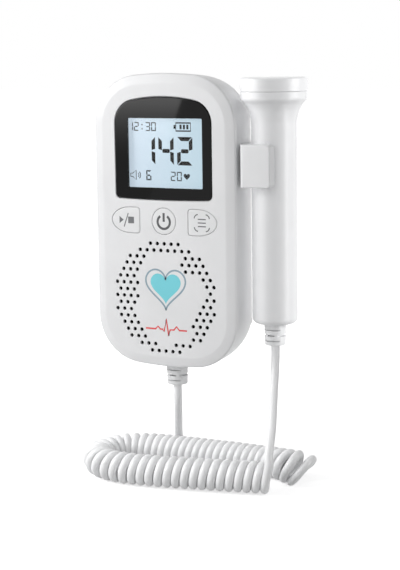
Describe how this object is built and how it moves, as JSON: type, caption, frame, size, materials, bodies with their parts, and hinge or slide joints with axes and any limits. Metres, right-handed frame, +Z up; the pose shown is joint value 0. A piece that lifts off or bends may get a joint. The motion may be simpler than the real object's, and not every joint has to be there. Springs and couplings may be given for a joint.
{
  "type": "fetal doppler",
  "caption": "Hand-held fetal doppler: a case with a display, keys and a speaker, and an ultrasound probe on a curly cord that is clipped to its side.",
  "frame": {"origin": "on the case's flat back, level with the middle of the speaker", "axes": "+Z up along the case, -Y the way the display faces, +X towards the probe"},
  "size_m": [0.1142, 0.0619, 0.1948],
  "materials": {
    "amplifier_chip": "black moulding compound",
    "battery_bridge": "nickel-plated strip",
    "battery_cell_left": "plain wrapped steel can",
    "battery_cell_right": "plain wrapped steel can",
    "battery_contact_left": "nickel-plated strip",
    "battery_contact_right": "nickel-plated strip",
    "battery_door": "white satin moulded plastic",
    "battery_spring_left": "nickel-plated spring wire",
    "battery_spring_right": "nickel-plated spring wire",
    "board_screw_1": "zinc-plated steel",
    "board_screw_2": "zinc-plated steel",
    "board_screw_3": "zinc-plated steel",
    "board_screw_4": "zinc-plated steel",
    "button_mode": "white satin moulded plastic",
    "button_play": "white satin moulded plastic",
    "button_power": "white satin moulded plastic",
    "case_screw_1": "zinc-plated steel",
    "case_screw_2": "zinc-plated steel",
    "case_screw_3": "zinc-plated steel",
    "case_screw_4": "zinc-plated steel",
    "clip_screw_lower": "zinc-plated steel",
    "clip_screw_upper": "zinc-plated steel",
    "cord_coil": "white smooth vinyl",
    "cord_tail_probe": "white smooth vinyl",
    "cord_tail_unit": "white smooth vinyl",
    "crystal_backing": "black damping foam",
    "crystal_left": "piezo ceramic with a thin electrode",
    "crystal_right": "piezo ceramic with a thin electrode",
    "front_shell": "white satin moulded plastic",
    "lcd_backlight": "milky light guide",
    "lcd_panel": "pale blue liquid crystal panel",
    "main_board": "green solder mask on glass epoxy",
    "probe_board": "green solder mask on glass epoxy",
    "probe_cap": "white satin moulded plastic",
    "probe_clip": "white satin moulded plastic",
    "probe_handle_back": "white satin moulded plastic",
    "probe_handle_front": "white satin moulded plastic",
    "probe_strain_relief": "white soft vinyl",
    "processor_chip": "black moulding compound",
    "rear_shell": "white satin moulded plastic",
    "screen_lens": "dark glossy lens",
    "speaker_cone": "treated paper",
    "speaker_felt": "black acoustic cloth",
    "speaker_frame": "pressed steel",
    "speaker_magnet": "ferrite",
    "switch_mode": "black plastic with a metal cover",
    "switch_play": "black plastic with a metal cover",
    "switch_power": "black plastic with a metal cover",
    "unit_strain_relief": "white soft vinyl"
  },
  "bodies": {
    "unit": {"front_shell": "front_shell", "rear_shell": "rear_shell", "probe_clip": "probe_clip", "screen_lens": "screen_lens", "lcd_panel": "lcd_panel", "lcd_backlight": "lcd_backlight", "main_board": "main_board", "processor_chip": "processor_chip", "amplifier_chip": "amplifier_chip", "switch_play": "switch_play", "switch_power": "switch_power", "switch_mode": "switch_mode", "speaker_felt": "speaker_felt", "speaker_frame": "speaker_frame", "speaker_cone": "speaker_cone", "speaker_magnet": "speaker_magnet", "battery_cell_left": "battery_cell_left", "battery_cell_right": "battery_cell_right", "battery_spring_left": "battery_spring_left", "battery_spring_right": "battery_spring_right", "battery_contact_left": "battery_contact_left", "battery_contact_right": "battery_contact_right", "battery_bridge": "battery_bridge", "board_screw_1": "board_screw_1", "board_screw_2": "board_screw_2", "board_screw_3": "board_screw_3", "board_screw_4": "board_screw_4", "case_screw_1": "case_screw_1", "case_screw_2": "case_screw_2", "case_screw_3": "case_screw_3", "case_screw_4": "case_screw_4", "clip_screw_upper": "clip_screw_upper", "clip_screw_lower": "clip_screw_lower", "unit_strain_relief": "unit_strain_relief", "cord_tail_unit": "cord_tail_unit", "cord_coil": "cord_coil", "cord_tail_probe": "cord_tail_probe"},
    "probe": {"probe_handle_front": "probe_handle_front", "probe_handle_back": "probe_handle_back", "probe_cap": "probe_cap", "crystal_left": "crystal_left", "crystal_right": "crystal_right", "crystal_backing": "crystal_backing", "probe_board": "probe_board", "probe_strain_relief": "probe_strain_relief"},
    "play_key": {"button_play": "button_play"},
    "power_key": {"button_power": "button_power"},
    "mode_key": {"button_mode": "button_mode"},
    "door": {"battery_door": "battery_door"}
  },
  "joints": [
    {"name": "probe_unclip", "type": "slide", "parent": "unit", "child": "probe", "axis": [1, 0, 0], "range_m": [0, 0.02]},
    {"name": "play_press", "type": "slide", "parent": "unit", "child": "play_key", "axis": [0, 1, 0], "range_m": [0, 0.0007], "stiffness_N_per_m": 1500},
    {"name": "power_press", "type": "slide", "parent": "unit", "child": "power_key", "axis": [0, 1, 0], "range_m": [0, 0.0007], "stiffness_N_per_m": 1500},
    {"name": "mode_press", "type": "slide", "parent": "unit", "child": "mode_key", "axis": [0, 1, 0], "range_m": [0, 0.0007], "stiffness_N_per_m": 1500},
    {"name": "battery_door_lift", "type": "slide", "parent": "unit", "child": "door", "axis": [0, 1, 0], "range_m": [0, 0.03]}
  ]
}
